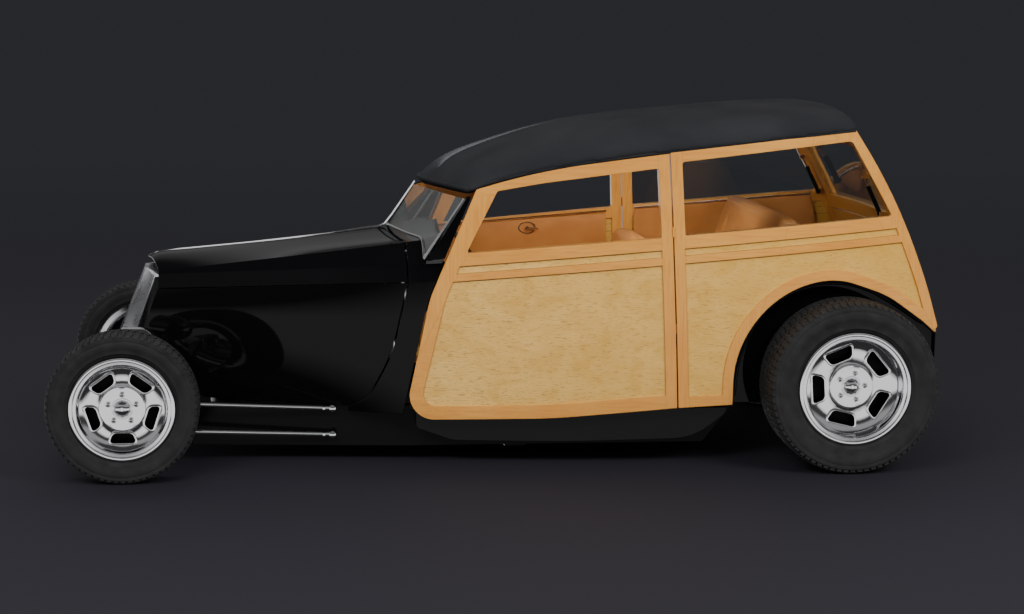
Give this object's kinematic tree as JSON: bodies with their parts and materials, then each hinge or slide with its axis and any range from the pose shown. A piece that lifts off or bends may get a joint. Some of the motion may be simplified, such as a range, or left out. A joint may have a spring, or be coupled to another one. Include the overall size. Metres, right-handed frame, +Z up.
{
  "type": "station wagon",
  "caption": "Low fenderless two-door wood-sided station wagon with open wheels, padded roof, steering, opening doors, hood halves and rear gates.",
  "frame": {"origin": "on the ground, midway along and across the whole car", "axes": "front toward -X, the car's left side toward -Y, +Z up"},
  "size_m": [3.7099, 1.756, 1.4828],
  "materials": {
    "black_body": "deep gloss black paint",
    "black_chassis": "gloss black chassis paint",
    "maple_frame": "varnished honey maple",
    "maple_panel": "varnished pale curly maple veneer",
    "roof_cloth": "matte black padded top cloth",
    "tan_leather": "satin tan hide",
    "deck_wood": "varnished boards",
    "tyre_rubber": "black road tyre",
    "polished_alloy": "polished",
    "chrome_trim": "bright chrome",
    "window_glass": "light grey tint",
    "engine_metal": "cast, satin",
    "steel_dark": "satin",
    "lamp_chrome": "chromed lamp shells",
    "wheel_leather": "varnished rim"
  },
  "bodies": {
    "car": {"front_axle": "chrome_trim", "front_suspension": "chrome_trim", "chassis_frame": "black_chassis", "rear_axle": "black_chassis", "rear_suspension": "black_chassis", "engine": "engine_metal", "radiator": "black_chassis", "exhaust": "steel_dark", "fuel_tank": "steel_dark", "grille": "chrome_trim", "hood_sides": "black_body", "cowl": "black_body", "centre_strip": "chrome_trim", "body_glass": "window_glass", "quarter_frames": "maple_frame", "quarter_panels": "maple_panel", "wheelhouses": "black_body", "floor": "black_body", "cargo_deck": "deck_wood", "roof": "roof_cloth", "roof_bows": "maple_frame", "rear_frame": "maple_frame", "seat_cushions": "tan_leather", "seat_backs": "tan_leather", "dashboard": "black_body", "lamps": "lamp_chrome"},
    "steered_left": {"knuckle_left": "chrome_trim"},
    "steered_right": {"knuckle_right": "chrome_trim"},
    "tie_rod_body": {"tie_rod": "chrome_trim"},
    "road_wheel_front_left": {"wheel_front_left": "polished_alloy", "tyre_front_left": "tyre_rubber"},
    "road_wheel_front_right": {"wheel_front_right": "polished_alloy", "tyre_front_right": "tyre_rubber"},
    "road_wheel_rear_left": {"wheel_rear_left": "polished_alloy", "tyre_rear_left": "tyre_rubber"},
    "road_wheel_rear_right": {"wheel_rear_right": "polished_alloy", "tyre_rear_right": "tyre_rubber"},
    "door_left": {"door_frame_left": "maple_frame", "door_panel_left": "maple_panel"},
    "door_right": {"door_frame_right": "maple_frame", "door_panel_right": "maple_panel"},
    "hood_lid_left": {"hood_left": "black_body"},
    "hood_lid_right": {"hood_right": "black_body"},
    "liftgate_lid": {"liftgate": "maple_frame", "liftgate_glass": "window_glass"},
    "tailgate_lid": {"tailgate": "maple_frame"},
    "steering_wheel_body": {"steering_wheel": "wheel_leather"},
    "gas_cylinders": {"strut_cylinders": "black_chassis"},
    "gas_rods": {"strut_rods": "chrome_trim"}
  },
  "joints": [
    {"name": "steer_left", "type": "hinge", "parent": "car", "child": "steered_left", "pos_m": [-1.5535, -0.64, 0.301], "axis": [0, 0, 1], "range_deg": [-30, 30]},
    {"name": "steer_right", "type": "hinge", "parent": "car", "child": "steered_right", "pos_m": [-1.5535, 0.64, 0.301], "axis": [0, 0, 1], "range_deg": [-30.5, 30.5]},
    {"name": "tie_rod_slide", "type": "slide", "parent": "car", "child": "tie_rod_body", "axis": [0, 1, 0], "range_m": [-0.08, 0.08]},
    {"name": "steering_wheel_turn", "type": "hinge", "parent": "car", "child": "steering_wheel_body", "pos_m": [-0.09491, -0.33, 0.7962], "axis": [0.8108, 0, 0.5853], "range_deg": [-460, 460]},
    {"name": "spin_front_left", "type": "hinge", "parent": "steered_left", "child": "road_wheel_front_left", "pos_m": [-1.5535, -0.7615, 0.301], "axis": [0, -1, 0], "continuous": true},
    {"name": "spin_front_right", "type": "hinge", "parent": "steered_right", "child": "road_wheel_front_right", "pos_m": [-1.5535, 0.7615, 0.301], "axis": [0, -1, 0], "continuous": true},
    {"name": "spin_rear_left", "type": "hinge", "parent": "car", "child": "road_wheel_rear_left", "pos_m": [1.3965, -0.7505, 0.356], "axis": [0, -1, 0], "continuous": true},
    {"name": "spin_rear_right", "type": "hinge", "parent": "car", "child": "road_wheel_rear_right", "pos_m": [1.3965, 0.7505, 0.356], "axis": [0, -1, 0], "continuous": true},
    {"name": "door_left_hinge", "type": "hinge", "parent": "car", "child": "door_left", "pos_m": [0.6715, -0.682, 0.6], "axis": [0, 0, 1], "range_deg": [0, 65]},
    {"name": "door_right_hinge", "type": "hinge", "parent": "car", "child": "door_right", "pos_m": [0.6715, 0.682, 0.6], "axis": [0, 0, -1], "range_deg": [0, 65]},
    {"name": "hood_left_hinge", "type": "hinge", "parent": "car", "child": "hood_lid_left", "pos_m": [-1.4415, -0.0062, 0.829], "axis": [-0.9937, 0, -0.1124], "range_deg": [0, 60]},
    {"name": "hood_right_hinge", "type": "hinge", "parent": "car", "child": "hood_lid_right", "pos_m": [-1.4415, 0.0062, 0.829], "axis": [0.9937, 0, 0.1124], "range_deg": [0, 60]},
    {"name": "liftgate_hinge", "type": "hinge", "parent": "car", "child": "liftgate_lid", "pos_m": [1.4915, 0, 1.371], "axis": [0, -1, 0], "range_deg": [0, 70]},
    {"name": "tailgate_hinge", "type": "hinge", "parent": "car", "child": "tailgate_lid", "pos_m": [1.8515, 0, 0.572], "axis": [0, 1, 0], "range_deg": [0, 85]},
    {"name": "gas_cylinder_pivot", "type": "hinge", "parent": "car", "child": "gas_cylinders", "pos_m": [1.5715, 0, 1.04], "axis": [0, -1, 0], "range_deg": [-60, 10]},
    {"name": "gas_rod_slide", "type": "slide", "parent": "gas_cylinders", "child": "gas_rods", "axis": [-0.4405, 0, 0.8977], "range_m": [-0.005, 0.12]}
  ],
  "couplings": [
    {"joint": "steer_right", "follows": "steer_left", "ratio": 1},
    {"joint": "tie_rod_slide", "follows": "steer_left", "m_per_rad": 0.144},
    {"joint": "steering_wheel_turn", "follows": "steer_left", "ratio": 15},
    {"joint": "gas_cylinder_pivot", "follows": "liftgate_hinge", "ratio": -0.66},
    {"joint": "gas_rod_slide", "follows": "liftgate_hinge", "m_per_rad": 0.059}
  ]
}
